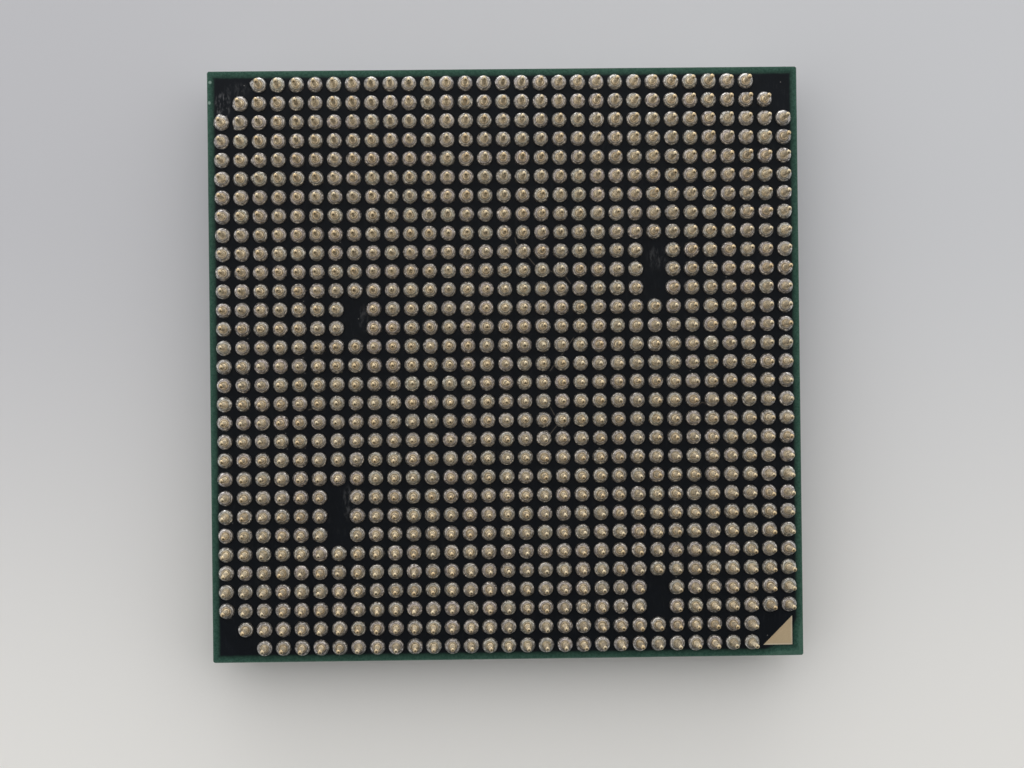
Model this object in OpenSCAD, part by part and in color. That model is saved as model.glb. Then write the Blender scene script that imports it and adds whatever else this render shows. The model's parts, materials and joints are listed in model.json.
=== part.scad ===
// Lidded pin-grid processor, lying on its heat spreader with the contact pins up.
// The origin is the centre of the lid's outer face, and +Z points to the pin tips.
// Columns count along +X, rows count along -Y, and the first-contact corner is at +X, -Y.

/* [Pin grid] */
// Grid places along each side
grid_n = 31; // [29:1:35]
// Distance between neighbouring grid places
pitch = 1.27; // [1.2:0.01:1.6]
// Diameter of a pin's shank
pin_d = 0.305; // [0.25:0.005:0.35]
// Height of the pin tips above the board
pin_len = 2; // [1.5:0.05:3.2]
// Diameter of the flat on a pin's tip
tip_d = 0.17; // [0.05:0.01:0.24]
// Height of the tip's bevel
tip_h = 0.09; // [0.02:0.01:0.2]
// Diameter of a pin's nail head
head_d = 0.66; // [0.5:0.01:0.8]
// Rise of the nail head's top from its rim to the shank
head_crown = 0.04; // [0.01:0.005:0.1]

/* [Solder] */
// Diameter of a solder joint on the board
joint_d = 1.07; // [0.9:0.01:1.1]
// Radius of the solder's rounded flank
flank_r = 0.23; // [0.2:0.005:0.3]
// Solder between a nail head and its pad
film_t = 0.03; // [0.01:0.005:0.06]

/* [Board] */
// Thickness of the board over the copper plane
board_t = 1.2; // [0.8:0.05:1.6]
// Distance from the outermost pin axes to the board's edge
edge_margin = 0.95; // [0.8:0.01:2]
// Radius of the board's corners
board_corner_r = 0.15; // [0.05:0.05:0.5]
// Width of the border without copper
border_w = 0.47; // [0.2:0.01:0.7]
// Height of the copper plane's step above the border
plane_step = 0.02; // [0.01:0.005:0.04]

/* [First-contact mark] */
// Length of the triangle's two straight sides
mark_leg = 1.98; // [1.2:0.01:2.4]
// Distance from the board's edges to the triangle
mark_inset = 0.73; // [0.5:0.01:0.8]
// Thickness of the plated triangle
mark_t = 0.05; // [0.03:0.005:0.1]
// Depth of the triangle's face below the board's surface
mark_recess = 0.02; // [0.005:0.005:0.05]

/* [Lid] */
// Distance from the board's edge to the lid
lid_margin = 1.3; // [1:0.05:2]
// Thickness of the lid's top wall
lid_top_t = 1.5; // [0.8:0.05:2.5]
// Radius of the lid's corners
lid_corner_r = 2; // [1.5:0.1:4]
// Radius of the lid's outer edge
lid_edge_r = 0.4; // [0.1:0.05:0.8]
// Width of the lid's rim
rim_w = 2.8; // [2:0.1:4]
// Radius of the corners inside the lid
cavity_corner_r = 1.2; // [0.4:0.1:3]

/* [Lid seal] */
// Thickness of the adhesive bead
seal_t = 0.15; // [0.05:0.01:0.3]
// Width of the adhesive bead
seal_w = 1.8; // [1:0.1:2]
// Distance from the lid's outer edge to the bead
seal_inset = 0.4; // [0.2:0.05:0.8]
// Width of the bead's vent gap
vent_w = 4; // [1:0.5:10]

/* [Chip] */
// Length of the chip along X
die_x = 13.4; // [8:0.2:16]
// Length of the chip along Y
die_y = 12.6; // [8:0.2:16]
// Thickness of the chip
die_t = 0.75; // [0.4:0.05:0.9]
// Gap between the chip and the board, filled with resin
bump_gap = 0.07; // [0.04:0.01:0.12]
// Thickness of the metal layer between the chip and the lid
interface_t = 0.08; // [0.03:0.01:0.3]
// Width of the resin fillet around the chip
fillet_w = 0.9; // [0.4:0.1:1.5]
// Height of the resin fillet above the board
fillet_h = 0.5; // [0.25:0.05:0.6]
// Width of the resin's narrow top beside the chip
fillet_lip = 0.08; // [0.04:0.01:0.2]

/* [Capacitors] */
// Capacitors in the row on each side of the chip
cap_count = 8; // [2:1:9]
// Distance between neighbouring capacitors in a row
cap_pitch = 1.5; // [1:0.1:1.7]
// Length of a capacitor
cap_l = 1; // [0.8:0.05:1.6]
// Width and height of a capacitor's terminals
cap_w = 0.5; // [0.3:0.02:0.5]
// Length of a terminal
terminal_l = 0.25; // [0.15:0.01:0.35]
// Thickness of the terminals' plating around the body
plating_t = 0.02; // [0.01:0.005:0.04]
// Clear distance from the resin to a row of capacitors
cap_clear = 1.2; // [0.5:0.1:2]

/* [Hidden] */
$fn = 48;
// Cutters reach this far past the faces that they open
over = 0.5;

// Key places without pins, each as its column, its first row and its number of rows
KEY_GAPS = [[23, 9, 3], [7, 12, 2], [6, 22, 3], [23, 27, 2]];

pin_r = pin_d / 2;
head_r = head_d / 2;
joint_r = joint_d / 2;
// The flank follows an arc that stands upright on the pad and runs inwards to the head's rim
flank_x = joint_r - flank_r;
flank_turn = acos((head_r - flank_x) / flank_r);
rim_z = flank_r * sin(flank_turn);
// Conical steps along the flank's arc
flank_steps = 3;

last = grid_n - 1;
board_w = last * pitch + 2 * edge_margin;
lid_w = board_w - 2 * lid_margin;
cavity_w = lid_w - 2 * rim_w;

// Heights from the lid's outer face up
board_z = lid_top_t + interface_t + die_t + bump_gap;
lid_h = board_z - seal_t;
pin_z = board_z + board_t;

// Three corners lack three places each, and the first-contact corner lacks four
function in_corner(c, r) =
  c + r < 2 || last - c + r < 2 || c + last - r < 2 || (c > last - 2 && r > last - 2);
function in_key(c, r) =
  len([for (k = KEY_GAPS) if (c == k[0] && r >= k[1] && r < k[1] + k[2]) 1]) > 0;
PLACES = [
  for (r = [0:last], c = [0:last])
    if (!in_corner(c, r) && !in_key(c, r)) [(c - last / 2) * pitch, (last / 2 - r) * pitch]
];

// Capacitors stand in one row on each side of the chip, each as its centre and its turn about Z
cap_out = [die_x / 2, die_y / 2] + [1, 1] * (fillet_w + cap_clear + cap_l / 2);
CAPS = [
  for (k = [0:cap_count - 1], side = [-1, 1], along_x = [true, false])
    let (step = (k - (cap_count - 1) / 2) * cap_pitch)
      along_x ? [step, side * cap_out[1], 90] : [side * cap_out[0], step, 0]
];

// Square outline with round corners
module round_square(w, r) {
  square([w - 2 * r, w], center = true);
  square([w, w - 2 * r], center = true);
  for (x = [-1, 1], y = [-1, 1])
    translate([x, y] * (w / 2 - r)) circle(r);
}

// Section through the lid's edge, from the centre of its corner out, with the outer face at the bottom
module lid_edge_section() {
  difference() {
    square([lid_corner_r, lid_h]);
    difference() {
      translate([lid_corner_r - lid_edge_r, -over]) square([lid_edge_r + over, lid_edge_r + over]);
      translate([lid_corner_r - lid_edge_r, lid_edge_r]) circle(lid_edge_r);
    }
  }
}

// Solid slab with the lid's outline and its rounded edge
module lid_slab() {
  flat_w = lid_w - 2 * lid_corner_r;
  translate([-flat_w / 2, -flat_w / 2, 0]) cube([flat_w, flat_w, lid_h]);
  for (turn = [0:90:270])
    rotate([0, 0, turn]) {
      translate([flat_w / 2, flat_w / 2, 0]) rotate_extrude(angle = 90) lid_edge_section();
      translate([flat_w / 2, flat_w / 2, 0]) rotate([90, 0, 0]) linear_extrude(flat_w) lid_edge_section();
    }
}

// Triangle with its right angle in the first-contact corner
module mark_outline() {
  translate([board_w / 2 - mark_inset, mark_inset - board_w / 2])
    polygon([[0, 0], [0, mark_leg], [-mark_leg, 0]]);
}

// Section through half a pin, from its head's underside up
module pin_section() {
  polygon([
    [0, film_t], [head_r, film_t], [head_r, rim_z], [pin_r, rim_z + head_crown],
    [pin_r, pin_len - tip_h], [tip_d / 2, pin_len], [0, pin_len]
  ]);
}

// Section through half a solder joint: a film under the head and a rounded flank around it
module joint_section() {
  flank = [
    for (k = [0:flank_steps])
      let (turn = flank_turn * k / flank_steps) [flank_x + flank_r * cos(turn), flank_r * sin(turn)]
  ];
  polygon(concat([[0, 0]], flank, [[head_r, film_t], [0, film_t]]));
}

module substrate() {
  color("darkgreen") difference() {
    union() {
      translate([0, 0, board_z]) linear_extrude(board_t - plane_step) round_square(board_w, board_corner_r);
      translate([0, 0, board_z]) linear_extrude(board_t)
        square(board_w - 2 * border_w, center = true);
    }
    translate([0, 0, pin_z - mark_t - mark_recess]) linear_extrude(mark_t + over) mark_outline();
    translate([0, 0, board_z - over]) linear_extrude(mark_t + mark_recess + over) mark_outline();
  }
}

module contact_pins() {
  color("goldenrod") for (p = PLACES)
    translate([p[0], p[1], pin_z]) rotate_extrude() pin_section();
}

module solder_joints() {
  color("silver") for (p = PLACES)
    translate([p[0], p[1], pin_z]) rotate_extrude() joint_section();
}

module pin_side_mark() {
  color("tan") translate([0, 0, pin_z - mark_recess - mark_t]) linear_extrude(mark_t) mark_outline();
}

module lid_side_mark() {
  color("tan") translate([0, 0, board_z + mark_recess]) linear_extrude(mark_t) mark_outline();
}

module lid() {
  color("lightgray") difference() {
    lid_slab();
    translate([0, 0, lid_top_t]) linear_extrude(lid_h) round_square(cavity_w, cavity_corner_r);
  }
}

module lid_adhesive() {
  outer_w = lid_w - 2 * seal_inset;
  color("dimgray") translate([0, 0, lid_h]) linear_extrude(seal_t) difference() {
    round_square(outer_w, lid_corner_r - seal_inset);
    square(outer_w - 2 * seal_w, center = true);
    translate([-vent_w / 2, 0]) square([vent_w, lid_w]);
  }
}

module die() {
  color("slategray") translate([-die_x / 2, -die_y / 2, lid_top_t + interface_t]) cube([die_x, die_y, die_t]);
}

module thermal_interface() {
  color("gainsboro") translate([-die_x / 2, -die_y / 2, lid_top_t]) cube([die_x, die_y, interface_t]);
}

// Bar of resin along Y, as wide as the chip and its two fillets, hanging from the board
module resin_bar(chip_w, bar_l) {
  foot = chip_w / 2 + fillet_w;
  lip = chip_w / 2 + fillet_lip;
  translate([0, bar_l / 2, board_z]) rotate([90, 0, 0]) linear_extrude(bar_l)
    polygon([[-foot, 0], [foot, 0], [lip, -fillet_h], [-lip, -fillet_h]]);
}

module underfill() {
  color("saddlebrown") difference() {
    intersection() {
      resin_bar(die_x, die_y + 4 * fillet_w);
      rotate([0, 0, 90]) resin_bar(die_y, die_x + 4 * fillet_w);
    }
    translate([-die_x / 2, -die_y / 2, lid_top_t]) cube([die_x, die_y, interface_t + die_t]);
  }
}

module capacitor_bodies() {
  size = [cap_l - 2 * terminal_l, cap_w - 2 * plating_t, cap_w - 2 * plating_t];
  color("peru") for (c = CAPS)
    translate([c[0], c[1], board_z - cap_w / 2]) rotate([0, 0, c[2]]) cube(size, center = true);
}

module capacitor_terminals() {
  color("lightgray") for (c = CAPS, end = [-1, 1])
    translate([c[0], c[1], board_z - cap_w / 2]) rotate([0, 0, c[2]])
      translate([end * (cap_l - terminal_l) / 2, 0, 0]) cube([terminal_l, cap_w, cap_w], center = true);
}

substrate();
contact_pins();
solder_joints();
pin_side_mark();
lid();
lid_adhesive();
die();
thermal_interface();
underfill();
capacitor_bodies();
capacitor_terminals();
lid_side_mark();
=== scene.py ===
"""Looks of a lidded pin-grid processor that lies on its lid, with the contact pins up."""
import json
import math
import random

import bpy
import numpy as np
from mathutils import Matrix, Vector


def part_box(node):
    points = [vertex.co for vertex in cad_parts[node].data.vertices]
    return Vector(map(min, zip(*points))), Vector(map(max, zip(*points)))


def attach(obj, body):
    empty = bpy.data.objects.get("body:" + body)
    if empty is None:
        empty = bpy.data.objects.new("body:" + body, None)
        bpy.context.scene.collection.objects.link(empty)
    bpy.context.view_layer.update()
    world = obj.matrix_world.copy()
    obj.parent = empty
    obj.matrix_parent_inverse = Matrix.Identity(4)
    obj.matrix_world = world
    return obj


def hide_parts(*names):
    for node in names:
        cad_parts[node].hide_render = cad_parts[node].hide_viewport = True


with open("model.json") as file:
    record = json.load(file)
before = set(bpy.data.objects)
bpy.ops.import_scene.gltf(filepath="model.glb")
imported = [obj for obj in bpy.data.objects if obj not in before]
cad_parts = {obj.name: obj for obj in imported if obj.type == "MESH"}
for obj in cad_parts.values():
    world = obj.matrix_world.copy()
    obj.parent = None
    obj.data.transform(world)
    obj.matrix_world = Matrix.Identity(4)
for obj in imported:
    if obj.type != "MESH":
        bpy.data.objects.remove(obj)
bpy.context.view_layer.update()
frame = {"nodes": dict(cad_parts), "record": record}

# Metres in a millimetre
MM = 0.001


def box_mm(node):
    """A node's lowest and highest corners in millimetres."""
    return [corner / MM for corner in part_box(node)]


# Sizes in millimetres, taken from the frame
GRID = next(mount for mount in frame["record"]["mounts"] if mount["name"] == "pin_grid")
PITCH = GRID["dims"]["spacing_x_mm"]
BOARD_LOW, BOARD_HIGH = box_mm("substrate")
JOINTS_LOW, JOINTS_HIGH = box_mm("solder_joints")
PINS_LOW, PINS_HIGH = box_mm("contact_pins")
MARK_LOW, MARK_HIGH = box_mm("pin_side_mark")
BOARD_HALF = BOARD_HIGH.x
OUTERMOST = PITCH * math.floor(BOARD_HALF / PITCH)
# A contact's radii, and its heights above the pad
JOINT_R = JOINTS_HIGH.x - OUTERMOST
HEAD_R = PINS_HIGH.x - OUTERMOST
PIN_R = GRID["dims"]["stud_r_mm"]
RIM_H = JOINTS_HIGH.z - JOINTS_LOW.z
FILM_T = PINS_LOW.z - JOINTS_LOW.z
PIN_LEN = PINS_HIGH.z - JOINTS_LOW.z

# Material slot of each node
SLOTS = {row["node"]: row["material_slot"] for row in frame["record"]["subparts"]}

# Rise of the nail head from its rim to the shank, and height of the rounded tip, in millimetres
HEAD_CROWN = 0.015
TIP_H = 0.09
# Turn at which the tip's rounding stops, and angle above which an edge stays crisp, in degrees
TIP_LAST_TURN = 80
CRISP_ANGLE = 40
# Width of the board's green border, and how much wider it is beside the gold mark, in millimetres
BORDER = 0.47
BORDER_BY_MARK = 0.24

# Unevenness of the contacts as standard deviations: lean of a pin and skew of its tip in millimetres,
# size of a joint and height of the waves in its outline as shares of its radius
LEAN = 0.025
TIP_SKEW = 0.012
JOINT_SPREAD = 0.01
JOINT_WAVE = 0.006
# Seed of those draws
SEED = 4

# Ring patterns of the reflowed solder in radians to a millimetre of radius: in its tone, in its bumps
TONE_RINGS = 54.0
BUMP_RINGS = 110.0

# Hairs on the board, each a row of places in millimetres
HAIRS = [
    [(4.63, 1.71), (4.32, 1.26), (3.01, -0.51)],
    [(0.73, 8.57), (0.78, 8.24), (2.06, 6.67), (4.13, 5.87), (4.47, 5.39)],
    [(2.98, -2.95), (3.27, -3.5)],
    [(3.41, -4.25), (2.96, -4.79)],
    [(-13.38, -2.97), (-12.71, -2.77)],
    [(13.04, -2.97), (13.29, -2.76), (13.59, -2.84)],
    [(19.55, -19.3), (19.9, -19.7)],
]
# Scuffed patches: centre, half width and half height in millimetres, strength
SCUFFS = [
    ((-18.95, 17.75), (0.65, 1.0), 1.0),
    ((-18.0, 18.8), (1.1, 0.6), 0.2),
    ((10.4, 7.1), (0.9, 1.0), 0.35),
    ((-10.75, -9.3), (0.5, 1.4), 0.5),
    ((-9.6, 3.2), (0.4, 1.1), 0.4),
]
# Pale nicks in the board's left edge: centre, half width and half height in millimetres
NICKS = [((-19.8, 19.27), (0.14, 0.14)), ((-19.86, 17.88), (0.12, 0.15))]
# Joints with a drawn-out edge: grid place from the middle, and the edge's direction in degrees
NUBS = {(-15, 13): 110, (-14, 13): 235, (-13, 11): 188, (-13, 10): 172, (-13, 15): 165}
# How far such an edge is drawn out, as a share of the radius, and how narrow it is
NUB_REACH = 0.2
NUB_NARROW = 25

# Colours of the board as linear red, green and blue; a pair is the darkest and the lightest tone
MASK_GREEN = ((0.019, 0.061, 0.043), (0.045, 0.108, 0.08))
MASK_DARK = ((0.002, 0.0033, 0.0052), (0.0045, 0.0066, 0.0102))
BORDER_DEEP = (0.005, 0.016, 0.013)
# Light green of the painted highlight along the board's outer edge
BORDER_EDGE_HIGHLIGHT = (0.09, 0.17, 0.13)
SAWN_CORE = ((0.03, 0.045, 0.02), (0.11, 0.11, 0.05))
NICK_PALE = (0.3, 0.42, 0.36)
SMEAR_GREY = (0.17, 0.175, 0.185)
DUST_GREY = (0.3, 0.29, 0.28)
HAIR_BROWN = (0.16, 0.14, 0.12)

# Colours of the metals
SOLDER_PINK = (0.415, 0.365, 0.35)
SOLDER_GREEN = (0.4, 0.39, 0.33)
SOLDER_DARK = (0.28, 0.265, 0.25)
# Lighter grey of the painted highlight on a joint's flank
SOLDER_RIM_HIGHLIGHT = (0.54, 0.53, 0.52)
FLECK_DARK = (0.1, 0.09, 0.08)
GOLD = ((0.52, 0.4, 0.24), (0.54, 0.46, 0.32))
# Lighter gold of the shank: painted light, standing for the light it gets from the front
GOLD_SHANK_LIT = (0.85, 0.73, 0.54)
# Dark gold of the painted shade in a ring round the shank's foot
GOLD_FOOT_SHADE = (0.25, 0.19, 0.11)
MARK_GOLD = ((0.57, 0.44, 0.27), (0.75, 0.6, 0.4))
# Light gold of the painted highlight along the mark's edges
MARK_EDGE_HIGHLIGHT = (0.88, 0.79, 0.65)
NICKEL = ((0.5, 0.49, 0.46), (0.6, 0.59, 0.56))
NICKEL_SCRATCH = (0.7, 0.69, 0.67)

# Colours of the floor: left, right, in front, and the grey of its faint clouds; the lighter right and
# front are painted light
FLOOR_LEFT = (0.6, 0.6, 0.625)
FLOOR_RIGHT_LIT = (0.66, 0.665, 0.685)
FLOOR_FRONT_LIT = (0.9, 0.885, 0.85)
FLOOR_CLOUD = (0.5, 0.5, 0.5)
# Places in millimetres where the floor's tones start and end: across, and towards the front
FLOOR_ACROSS = (-40, 40)
FLOOR_ALONG = (14, -34)

# The photograph's viewpoint: place in millimetres, turn in degrees, lens for a 36 mm sensor, lens shift
CAMERA_PLACE = (-4.0, -1.0, 121.67)
CAMERA_TURN = (0.221, -0.811, -0.654)
CAMERA_LENS = 61.254
CAMERA_SHIFT = (0.0396, -0.0112)
SENSOR_WIDTH = 36.0
# Directions from the part: to the back, and to the dim patch of the surroundings where the viewer stands
BACK_WAY = (0, 1, 0)
VIEWER_WAY = (0.12, -0.68, 0.72)
# Nearness to that direction, as a cosine, at which the patch starts and is at its dimmest
VIEWER_PATCH = (0.56, 0.86)


class Shader:
    """One material's node tree, with short calls for the nodes that the finishes share."""

    def __init__(self, name):
        self.material = bpy.data.materials.new(name)
        self.material.use_nodes = True
        self.tree = self.material.node_tree
        self.bsdf = self.tree.nodes["Principled BSDF"]
        place = self.add("ShaderNodeTexCoord").outputs["Object"]
        self.mm = self.vector("SCALE", place, scale=1 / MM)

    def add(self, kind, **settings):
        """A new node with these settings."""
        node = self.tree.nodes.new(kind)
        for name, value in settings.items():
            setattr(node, name, value)
        return node

    def feed(self, socket, value):
        """Links a socket to another one, or sets it to a plain value."""
        if isinstance(value, bpy.types.NodeSocket):
            self.tree.links.new(value, socket)
        else:
            socket.default_value = value

    def surface(self, **inputs):
        """Feeds the shader's own sockets: surface(base_color=..., roughness=...)."""
        for name, value in inputs.items():
            title = name.replace("_", " ").title().replace("Ior", "IOR")
            self.feed(self.bsdf.inputs[title], value)

    def math(self, operation, first, second=0.0, third=0.0):
        """Result of a calculation with numbers."""
        node = self.add("ShaderNodeMath", operation=operation)
        for socket, value in zip(node.inputs, (first, second, third)):
            self.feed(socket, value)
        return node.outputs[0]

    def vector(self, operation, first, second=(0, 0, 0), scale=1.0):
        """Result with vectors: a number for a length, distance or dot product, and otherwise a vector."""
        node = self.add("ShaderNodeVectorMath", operation=operation)
        self.feed(node.inputs[0], first)
        if operation == "SCALE":
            self.feed(node.inputs["Scale"], scale)
        else:
            self.feed(node.inputs[1], second)
        return node.outputs["Value" if operation in ("LENGTH", "DISTANCE", "DOT_PRODUCT") else "Vector"]

    def parts(self, vector):
        """A vector's three numbers."""
        node = self.add("ShaderNodeSeparateXYZ")
        self.feed(node.inputs[0], vector)
        return node.outputs

    def fade(self, value, low, high, start=0.0, end=1.0):
        """Smooth step: start at low, end at high."""
        node = self.add("ShaderNodeMapRange", interpolation_type="SMOOTHSTEP")
        names = ("Value", "From Min", "From Max", "To Min", "To Max")
        for name, number in zip(names, (value, low, high, start, end)):
            self.feed(node.inputs[name], number)
        return node.outputs[0]

    def noise(self, scale, detail=3.0, stretch=(1, 1, 1), rough=0.5):
        """Noise from about 0.25 to 0.75, with this many waves to a millimetre."""
        node = self.add("ShaderNodeTexNoise")
        self.feed(node.inputs["Vector"], self.vector("MULTIPLY", self.mm, stretch))
        node.inputs["Scale"].default_value = scale
        node.inputs["Detail"].default_value = detail
        node.inputs["Roughness"].default_value = rough
        return node.outputs[0]

    def mix(self, factor, first, second):
        """Mix of two colours, each a socket or three numbers."""
        node = self.add("ShaderNodeMix", data_type="RGBA")
        self.feed(node.inputs[0], factor)
        for socket, colour in ((node.inputs[6], first), (node.inputs[7], second)):
            self.feed(socket, colour if isinstance(colour, bpy.types.NodeSocket) else (*colour, 1.0))
        return node.outputs[2]

    def bump(self, height, depth):
        """Bumps of this depth in millimetres, for a height from 0 to 1."""
        node = self.add("ShaderNodeBump")
        node.inputs["Distance"].default_value = depth * MM
        self.feed(node.inputs["Height"], height)
        self.feed(self.bsdf.inputs["Normal"], node.outputs[0])

    def pin_cell(self):
        """Distance from the nearest pin's axis in millimetres, and three numbers drawn for that pin."""
        steps = self.vector("MULTIPLY", self.mm, (1 / PITCH, 1 / PITCH, 0))
        cell = self.vector("FLOOR", self.vector("ADD", steps, (0.5, 0.5, 0.5)))
        radius = self.vector("LENGTH", self.vector("SUBTRACT", steps, cell))
        draw = self.add("ShaderNodeTexWhiteNoise", noise_dimensions="3D")
        self.feed(draw.inputs["Vector"], cell)
        return self.math("MULTIPLY", radius, PITCH), self.parts(draw.outputs["Color"])

    def normal_z(self):
        """How far a face points up: 1 for up, 0 for a side, -1 for down."""
        return self.parts(self.add("ShaderNodeNewGeometry").outputs["True Normal"])[2]

    def patch(self, centre, size):
        """One within a soft-edged ellipse on the board, and zero outside it."""
        away = self.vector("SUBTRACT", self.mm, (*centre, 0))
        shares = self.vector("MULTIPLY", away, (1 / size[0], 1 / size[1], 0))
        return self.fade(self.vector("LENGTH", shares), 0.5, 1.0, 1.0, 0.0)

    def from_line(self, start, end):
        """Distance in millimetres from a straight line between two places on the board."""
        length = math.dist(start, end)
        way = ((end[0] - start[0]) / length, (end[1] - start[1]) / length, 0)
        away = self.vector("MULTIPLY", self.vector("SUBTRACT", self.mm, (*start, 0)), (1, 1, 0))
        along = self.math("MAXIMUM", self.vector("DOT_PRODUCT", away, way), 0.0)
        along = self.math("MINIMUM", along, length)
        foot = self.vector("SCALE", way, scale=along)
        return self.vector("DISTANCE", away, foot)

    def dots(self, scale, share, size):
        """Small round dots: cells to a millimetre, share of cells with a dot, radius in millimetres."""
        node = self.add("ShaderNodeTexVoronoi", voronoi_dimensions="2D")
        self.feed(node.inputs["Vector"], self.mm)
        node.inputs["Scale"].default_value = scale
        chosen = self.math("LESS_THAN", self.parts(node.outputs["Color"])[0], share)
        round_dot = self.fade(node.outputs["Distance"], size * scale * 0.6, size * scale, 1.0, 0.0)
        return self.math("MULTIPLY", chosen, round_dot)


def laminate():
    """The board: green solder mask, near black over the copper plane by the pins, and sawn sides."""
    s = Shader("laminate")
    grain = s.noise(8.0, detail=5)
    green = s.mix(s.fade(grain, 0.3, 0.7), *MASK_GREEN)
    upright = s.fade(s.math("ABSOLUTE", s.normal_z()), 0.4, 0.6, 1.0, 0.0)
    under = s.fade(s.normal_z(), -0.6, -0.4, 1.0, 0.0)
    colour = s.mix(under, pin_face(s, green), green)
    colour = s.mix(upright, colour, sawn_side(s, green))
    rough = s.fade(grain, 0.3, 0.7, 0.34, 0.5)
    s.surface(base_color=colour, roughness=rough, specular_ior_level=0.13)
    s.bump(s.noise(14.0, detail=4), 0.01)
    return s.material


def pin_face(s, green):
    """The pins' side: near black over the copper plane, a green border with a painted highlight along its
    outer edge, and nicks.
    """
    x, y, _ = s.parts(s.mm)
    reach = s.math("MAXIMUM", s.math("ABSOLUTE", x), s.math("ABSOLUTE", y))
    inset = s.math("SUBTRACT", BOARD_HALF, reach)
    wobble = s.math("MULTIPLY", s.math("SUBTRACT", s.noise(3.0), 0.5), 0.1)
    mark_size = (MARK_HIGH.x - MARK_LOW.x, MARK_HIGH.y - MARK_LOW.y)
    widening = s.math("MULTIPLY", s.patch((MARK_HIGH.x, MARK_LOW.y), mark_size), BORDER_BY_MARK)
    depth = s.math("SUBTRACT", s.math("ADD", inset, wobble), widening)
    border = s.mix(s.fade(depth, 0.1, BORDER, 0.0, 0.6), green, BORDER_DEEP)
    # Painted highlight: lighter green along the board's outer edge
    border = s.mix(s.fade(depth, 0.02, 0.12, 0.4, 0.0), border, BORDER_EDGE_HIGHLIGHT)
    dark = s.mix(s.noise(1.3), *MASK_DARK)
    face = s.mix(s.fade(depth, BORDER - 0.1, BORDER + 0.08), border, board_dirt(s, dark))
    for centre, size in NICKS:
        face = s.mix(s.math("MULTIPLY", s.patch(centre, size), 0.6), face, NICK_PALE)
    return face


def board_dirt(s, dark):
    """The dark mask with scuffs, smears, dust and hairs."""
    streaks = s.fade(s.noise(2.6, detail=5, stretch=(1.5, 0.6, 1), rough=0.65), 0.47, 0.66)
    smear = s.fade(s.noise(3.0, stretch=(2.2, 0.4, 1)), 0.56, 0.74, 0.0, 0.05)
    for centre, size, strength in SCUFFS:
        scuff = s.math("MULTIPLY", s.patch(centre, size), streaks)
        smear = s.math("MAXIMUM", smear, s.math("MULTIPLY", scuff, strength))
    colour = s.mix(s.math("MULTIPLY", smear, 0.6), dark, SMEAR_GREY)
    colour = s.mix(s.math("MULTIPLY", s.dots(0.8, 0.14, 0.045), 0.5), colour, DUST_GREY)
    gap = 1.0
    for hair in HAIRS:
        for start, end in zip(hair, hair[1:]):
            gap = s.math("MINIMUM", s.from_line(start, end), gap)
    return s.mix(s.fade(gap, 0.015, 0.035, 0.6, 0.0), colour, HAIR_BROWN)


def sawn_side(s, green):
    """The board's sawn sides: layers of the core between two green masks."""
    z = s.parts(s.mm)[2]
    core = s.mix(s.noise(9.0, stretch=(0.05, 0.05, 1.0)), *SAWN_CORE)
    from_top = s.math("SUBTRACT", BOARD_HIGH.z, z)
    from_foot = s.math("SUBTRACT", z, BOARD_LOW.z)
    return s.mix(s.fade(s.math("MINIMUM", from_top, from_foot), 0.06, 0.1), green, core)


def joint_tone(s, draws):
    """Warm grey of a joint's solder, a little darker, pinker or greener from joint to joint."""
    hue = s.mix(draws[1], SOLDER_PINK, SOLDER_GREEN)
    return s.mix(s.math("MULTIPLY", draws[0], 0.6), hue, SOLDER_DARK)


def mottled_rings(s, colour, radius, draws):
    """A joint's tone with blotches and faint rings around the pin."""
    wander = s.math("MULTIPLY", s.noise(3.0), 6.0)
    start = s.math("MULTIPLY_ADD", draws[2], 6.0, wander)
    turns = s.math("MULTIPLY_ADD", radius, TONE_RINGS, start)
    rings = s.math("MULTIPLY", s.math("SINE", turns), 0.3)
    blotch = s.fade(s.noise(6.5, detail=4, rough=0.6), 0.36, 0.64, 0.7, 1.26)
    return s.vector("SCALE", colour, scale=s.math("ADD", blotch, rings))


def reflowed(s, radius, depth):
    """Bumps of reflowed solder: fine rings and an uneven skin around the pin, but none on the shank."""
    rings = s.math("SINE", s.math("MULTIPLY", radius, BUMP_RINGS))
    height = s.math("ADD", s.math("MULTIPLY", rings, 0.06), s.noise(8.0, detail=3))
    s.bump(s.math("MULTIPLY", height, s.fade(radius, PIN_R + 0.02, PIN_R + 0.08)), depth)


def solder():
    """Dull reflowed solder: each joint has its own tone, rings, a mottled skin and dark flecks, with a
    painted highlight and painted glints towards its rim.
    """
    s = Shader("solder")
    radius, draws = s.pin_cell()
    rim = s.fade(radius, HEAD_R + 0.03, JOINT_R - 0.06)
    # Painted highlight: lighter grey towards the joint's rim
    tone = s.mix(s.math("MULTIPLY", rim, 0.6), joint_tone(s, draws), SOLDER_RIM_HIGHLIGHT)
    # Painted glints: specks lighter and darker than the rest of the rim
    glint = s.math("MULTIPLY", s.fade(s.noise(7.0, detail=2), 0.42, 0.66, -0.25, 0.65), rim)
    skin = s.vector("SCALE", mottled_rings(s, tone, radius, draws), scale=s.math("ADD", glint, 1.0))
    from_band = s.math("ABSOLUTE", s.math("SUBTRACT", radius, HEAD_R + 0.1))
    band = s.fade(from_band, 0.03, 0.1, 1.0, 0.0)
    fleck = s.math("MULTIPLY", s.fade(s.noise(8.0, detail=2), 0.53, 0.63, 0.0, 0.85), band)
    rough = s.fade(s.noise(9.0, detail=4), 0.3, 0.7, 0.3, 0.46)
    s.surface(base_color=s.mix(fleck, skin, FLECK_DARK), metallic=1.0, roughness=rough)
    reflowed(s, radius, 0.03)
    return s.material


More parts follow.
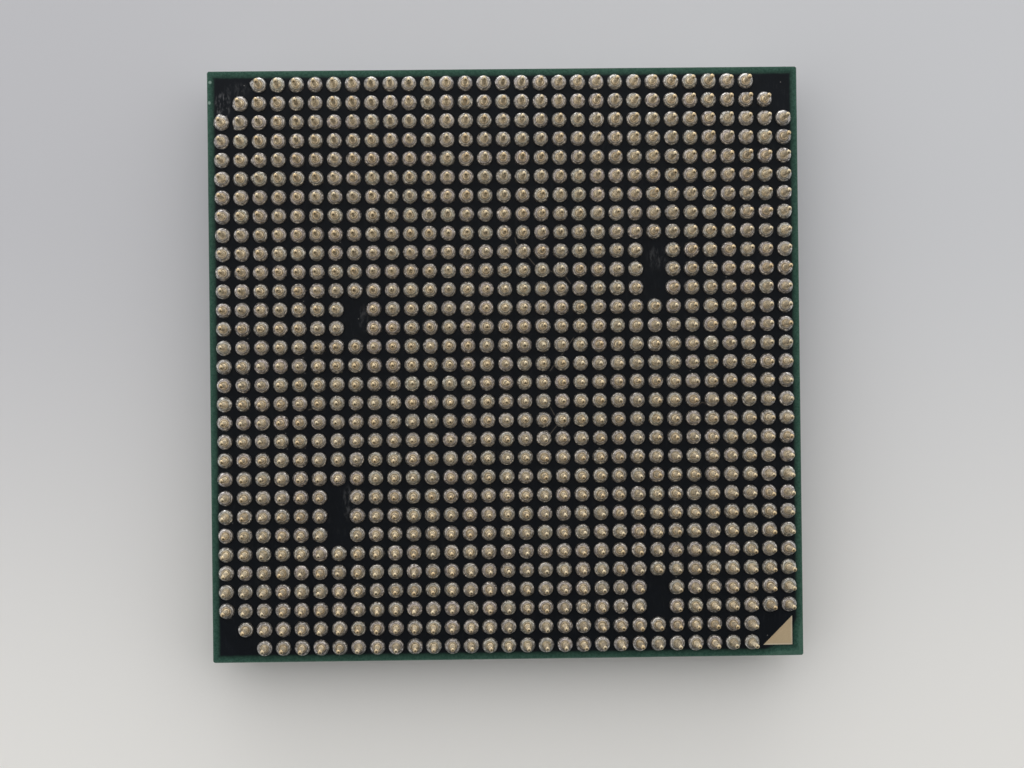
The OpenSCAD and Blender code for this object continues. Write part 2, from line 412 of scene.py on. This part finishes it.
def gold_plate():
    """Thin gold on the pins; solder has crept over the nail head and left gold by the shank. The shank's
    gold is lighter as painted light, and a ring round its foot darker as painted shade.
    """
    s = Shader("gold_plate")
    radius, draws = s.pin_cell()
    z = s.parts(s.mm)[2]
    ragged = s.math("ADD", radius, s.math("MULTIPLY", s.math("SUBTRACT", s.noise(5.0), 0.5), 0.3))
    wetted = s.fade(ragged, PIN_R - 0.02, HEAD_R + 0.12)
    on_head = s.fade(radius, PIN_R, PIN_R + 0.06)
    at_tip = s.fade(z, PINS_HIGH.z - 2 * TIP_H, PINS_HIGH.z - TIP_H)
    off_shank = s.math("MAXIMUM", on_head, at_tip)
    # Painted light: lighter gold on the shank
    gold = s.mix(off_shank, GOLD_SHANK_LIT, s.mix(draws[2], *GOLD))
    # Painted shade: darker gold in a ring round the shank's foot
    foot = s.math("SUBTRACT", on_head, s.fade(radius, PIN_R + 0.05, HEAD_R))
    gold = s.mix(s.math("MULTIPLY", foot, 0.2), gold, GOLD_FOOT_SHADE)
    skin = mottled_rings(s, s.mix(wetted, gold, joint_tone(s, draws)), radius, draws)
    metallic = s.math("MAXIMUM", off_shank, 0.3)
    mottle = s.fade(s.noise(9.0, detail=4), 0.3, 0.7, 0.25, 0.31)
    rough = s.math("ADD", mottle, s.math("MULTIPLY", on_head, 0.18))
    s.surface(base_color=s.mix(at_tip, skin, gold), metallic=metallic, roughness=rough)
    reflowed(s, radius, 0.02)
    return s.material


def gold_mark():
    """Matte gold plating with a fine grain and a painted highlight: a brighter edge along the board's
    corner.
    """
    s = Shader("gold_mark")
    x, y, _ = s.parts(s.mm)
    edge = s.math("MINIMUM", s.math("SUBTRACT", MARK_HIGH.x, x), s.math("SUBTRACT", y, MARK_LOW.y))
    grain = s.noise(22.0, detail=4)
    # Painted highlight: lighter gold along the two edges by the board's corner
    colour = s.mix(s.fade(edge, 0.03, 0.12, 0.6, 0.0), s.mix(grain, *MARK_GOLD), MARK_EDGE_HIGHLIGHT)
    s.surface(base_color=colour, metallic=1.0, roughness=0.5)
    s.bump(grain, 0.012)
    return s.material


def nickel_plate():
    """Satin nickel with fine handling scratches."""
    s = Shader("nickel_plate")
    cloud = s.noise(0.25, detail=4)
    along = s.fade(s.noise(1.2, stretch=(0.15, 6.0, 1.0)), 0.58, 0.7)
    across = s.fade(s.noise(1.2, stretch=(5.0, 0.2, 1.0)), 0.6, 0.72)
    scratch = s.math("MAXIMUM", along, across)
    colour = s.mix(s.math("MULTIPLY", scratch, 0.25), s.mix(cloud, *NICKEL), NICKEL_SCRATCH)
    rough = s.math("ADD", s.fade(cloud, 0.3, 0.7, 0.26, 0.36), s.math("MULTIPLY", scratch, 0.08))
    s.surface(base_color=colour, metallic=1.0, roughness=rough)
    s.bump(scratch, -0.004)
    return s.material


def mottled(name, dark, light, scale, metallic, roughness, depth):
    """A plain finish with two tones of noise and fine bumps, for the pieces between board and lid."""
    s = Shader(name)
    grain = s.noise(scale, detail=4)
    s.surface(base_color=s.mix(grain, dark, light), metallic=metallic, roughness=roughness)
    s.bump(grain, depth)
    return s.material


# Plain finishes: two tones, waves to a millimetre, metallic, roughness, depth of the bumps in millimetres
PLAIN = {
    "sealant": ((0.012, 0.012, 0.013), (0.03, 0.03, 0.032), 6.0, 0.0, 0.6, 0.02),
    "silicon": ((0.10, 0.11, 0.13), (0.13, 0.14, 0.16), 0.4, 1.0, 0.12, 0.001),
    "interface_metal": ((0.5, 0.5, 0.5), (0.66, 0.66, 0.67), 3.0, 1.0, 0.45, 0.01),
    "resin": ((0.05, 0.03, 0.015), (0.1, 0.06, 0.03), 2.0, 0.0, 0.35, 0.01),
    "ceramic": ((0.16, 0.1, 0.06), (0.24, 0.16, 0.1), 12.0, 0.0, 0.55, 0.005),
    "tin_plate": ((0.5, 0.5, 0.5), (0.68, 0.68, 0.67), 12.0, 1.0, 0.4, 0.008),
}
# Finish of each slot
FINISHES = {
    "laminate": laminate(),
    "gold_plate": gold_plate(),
    "solder": solder(),
    "gold_mark": gold_mark(),
    "nickel_plate": nickel_plate(),
    **{slot: mottled(slot, *look) for slot, look in PLAIN.items()},
}


def dress_nodes():
    """Gives every node of the frame the finish of its slot."""
    for node, slot in SLOTS.items():
        mesh = frame["nodes"][node].data
        mesh.materials.clear()
        mesh.materials.append(FINISHES[slot])


def pin_places():
    """Grid places that hold a pin, as columns and rows counted from the middle."""
    corners = frame["nodes"]["contact_pins"].data.vertices
    return sorted({(round(v.co.x / MM / PITCH), round(v.co.y / MM / PITCH)) for v in corners})


def turned(name, forms, node):
    """One mesh of closed turned forms in a node's place, each form an array of rings from foot to top."""
    points, faces = [], []
    for rings in forms:
        first = len(points)
        count, sides = rings.shape[:2]
        points.extend(map(tuple, rings.reshape(-1, 3) * MM))
        faces.append([first + k for k in reversed(range(sides))])
        for ring in range(count - 1):
            low = first + ring * sides
            for k in range(sides):
                step = (k + 1) % sides
                faces.append((low + k, low + step, low + sides + step, low + sides + k))
        faces.append([first + (count - 1) * sides + k for k in range(sides)])
    mesh = bpy.data.meshes.new(name)
    mesh.from_pydata(points, [], faces)
    mesh.shade_smooth()
    mesh.set_sharp_from_angle(angle=math.radians(CRISP_ANGLE))
    mesh.materials.append(FINISHES[SLOTS[node]])
    piece = bpy.data.objects.new(name, mesh)
    bpy.context.scene.collection.objects.link(piece)
    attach(piece, "root")
    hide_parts(node)


def directions(sides):
    """Directions of a ring's points in radians."""
    return np.arange(sides) * math.tau / sides


def ring_points(centre, radius, angle, height):
    """Points of a level ring at a height above the pad, with one radius or one for each direction."""
    return np.column_stack((
        centre[0] + radius * np.cos(angle),
        centre[1] + radius * np.sin(angle),
        np.full(len(angle), JOINTS_LOW.z + height),
    ))


def joint_form(place, draw, sides=24, steps=6):
    """A solder joint: a rounded flank up to the nail head's rim, a little uneven as reflowed solder is."""
    wide = JOINT_R - HEAD_R
    flank_r = (wide ** 2 + RIM_H ** 2) / (2 * wide)
    flank_turn = math.acos(1 - wide / flank_r)
    size = 1 + draw.gauss(0, JOINT_SPREAD)
    waves = [(n, draw.gauss(0, JOINT_WAVE), draw.uniform(0, math.tau)) for n in (2, 3, 5)]
    angle = directions(sides)
    uneven = size + sum(high * np.cos(n * angle + start) for n, high, start in waves)
    if place in NUBS:
        turn = angle - math.radians(NUBS[place])
        uneven = uneven + NUB_REACH * np.exp((np.cos(turn) - 1) * NUB_NARROW)
    centre = np.array(place) * PITCH
    form = []
    for k in range(steps + 1):
        turn = flank_turn * k / steps
        radius = JOINT_R - flank_r * (1 - math.cos(turn))
        spread = 1 + (uneven - 1) * (radius - HEAD_R) / wide
        form.append(ring_points(centre, radius * spread, angle, flank_r * math.sin(turn)))
    form.append(ring_points(centre, HEAD_R, angle, FILM_T))
    return np.array(form)


def pin_form(place, draw, sides=16):
    """A nail-head pin with a nearly flat head and a rounded tip."""
    profile = [(HEAD_R, FILM_T), (HEAD_R, RIM_H), (PIN_R, RIM_H + HEAD_CROWN)]
    last_turn = math.radians(TIP_LAST_TURN)
    for turn in np.linspace(0, last_turn, 5):
        rise = math.sin(turn) / math.sin(last_turn)
        profile.append((PIN_R * math.cos(turn), PIN_LEN - TIP_H * (1 - rise)))
    lean = np.array([draw.gauss(0, LEAN), draw.gauss(0, LEAN)])
    skew = np.array([draw.gauss(0, TIP_SKEW), draw.gauss(0, TIP_SKEW)])
    angle = directions(sides)
    form = []
    for radius, height in profile:
        centre = np.array(place) * PITCH + lean * max(0.0, height - RIM_H) / PIN_LEN
        centre = centre + skew * max(0.0, height - PIN_LEN + TIP_H) / TIP_H
        form.append(ring_points(centre, radius, angle, height))
    return np.array(form)


def contacts():
    """Pins and joints, in a left and a right half."""
    draw = random.Random(SEED)
    places = pin_places()
    halves = {"left": [p for p in places if p[0] < 0], "right": [p for p in places if p[0] >= 0]}
    for side, half in halves.items():
        turned("solder_" + side, [joint_form(p, draw) for p in half], "solder_joints")
        turned("pins_" + side, [pin_form(p, draw) for p in half], "contact_pins")


def floor():
    """Plain pale surface that the part lies on, with painted light: a little lighter to the right and in
    front.
    """
    bpy.ops.mesh.primitive_plane_add(size=4.0)
    plane = bpy.context.object
    plane.name = "floor"
    s = Shader("floor_paint")
    x, y, _ = s.parts(s.mm)
    # Painted light: the floor lighter to the right and in front
    colour = s.mix(s.fade(x, *FLOOR_ACROSS), FLOOR_LEFT, FLOOR_RIGHT_LIT)
    colour = s.mix(s.fade(y, *FLOOR_ALONG), colour, FLOOR_FRONT_LIT)
    colour = s.mix(s.noise(0.02), colour, s.mix(0.06, colour, FLOOR_CLOUD))
    s.surface(base_color=colour, roughness=0.75, specular_ior_level=0.15)
    plane.data.materials.append(s.material)


def soft_box(name, place, width, height, power):
    """Area light turned to the part, with its place and size in metres."""
    data = bpy.data.lights.new(name, "AREA")
    data.shape = "RECTANGLE"
    data.size = width
    data.size_y = height
    data.energy = power
    lamp = bpy.data.objects.new(name, data)
    lamp.location = place
    lamp.rotation_euler = lamp.location.to_track_quat("Z", "Y").to_euler()
    bpy.context.scene.collection.objects.link(lamp)


def by_direction(tree, way, low, high, start, end):
    """Smooth step in the surroundings by their nearness to a direction: start at low, end at high."""
    place = tree.nodes.new("ShaderNodeTexCoord").outputs["Generated"]
    facing = tree.nodes.new("ShaderNodeVectorMath")
    facing.operation = "DOT_PRODUCT"
    facing.inputs[1].default_value = way
    tree.links.new(place, facing.inputs[0])
    ramp = tree.nodes.new("ShaderNodeMapRange")
    ramp.interpolation_type = "SMOOTHSTEP"
    for name, value in (("From Min", low), ("From Max", high), ("To Min", start), ("To Max", end)):
        ramp.inputs[name].default_value = value
    tree.links.new(facing.outputs["Value"], ramp.inputs["Value"])
    return ramp.outputs[0]


def surroundings(back, front, viewer):
    """Soft light from all around, brighter behind the part and dim where the viewer stands."""
    world = bpy.data.worlds.new("surroundings")
    bpy.context.scene.world = world
    world.use_nodes = True
    tree = world.node_tree
    level = tree.nodes.new("ShaderNodeMath")
    level.operation = "MULTIPLY"
    tree.links.new(by_direction(tree, BACK_WAY, -1.0, 1.0, front, back), level.inputs[0])
    tree.links.new(by_direction(tree, VIEWER_WAY, *VIEWER_PATCH, 1.0, viewer), level.inputs[1])
    background = tree.nodes["Background"]
    background.inputs["Color"].default_value = (1.0, 1.0, 1.0, 1.0)
    tree.links.new(level.outputs[0], background.inputs["Strength"])


def camera():
    """Camera at the photograph's viewpoint."""
    data = bpy.data.cameras.new("camera")
    data.lens = CAMERA_LENS
    data.sensor_width = SENSOR_WIDTH
    data.shift_x, data.shift_y = CAMERA_SHIFT
    data.clip_start = MM
    eye = bpy.data.objects.new("camera", data)
    eye.location = [value * MM for value in CAMERA_PLACE]
    eye.rotation_euler = [math.radians(value) for value in CAMERA_TURN]
    bpy.context.scene.collection.objects.link(eye)
    bpy.context.scene.camera = eye


dress_nodes()
contacts()
floor()
surroundings(back=1.3, front=0.8, viewer=0.07)
soft_box("key", place=(0.0, 0.5, 0.17), width=0.5, height=0.16, power=0.45)
soft_box("low", place=(-0.05, 0.5, 0.06), width=0.4, height=0.06, power=0.6)
camera()
bpy.context.scene.view_settings.view_transform = "Standard"
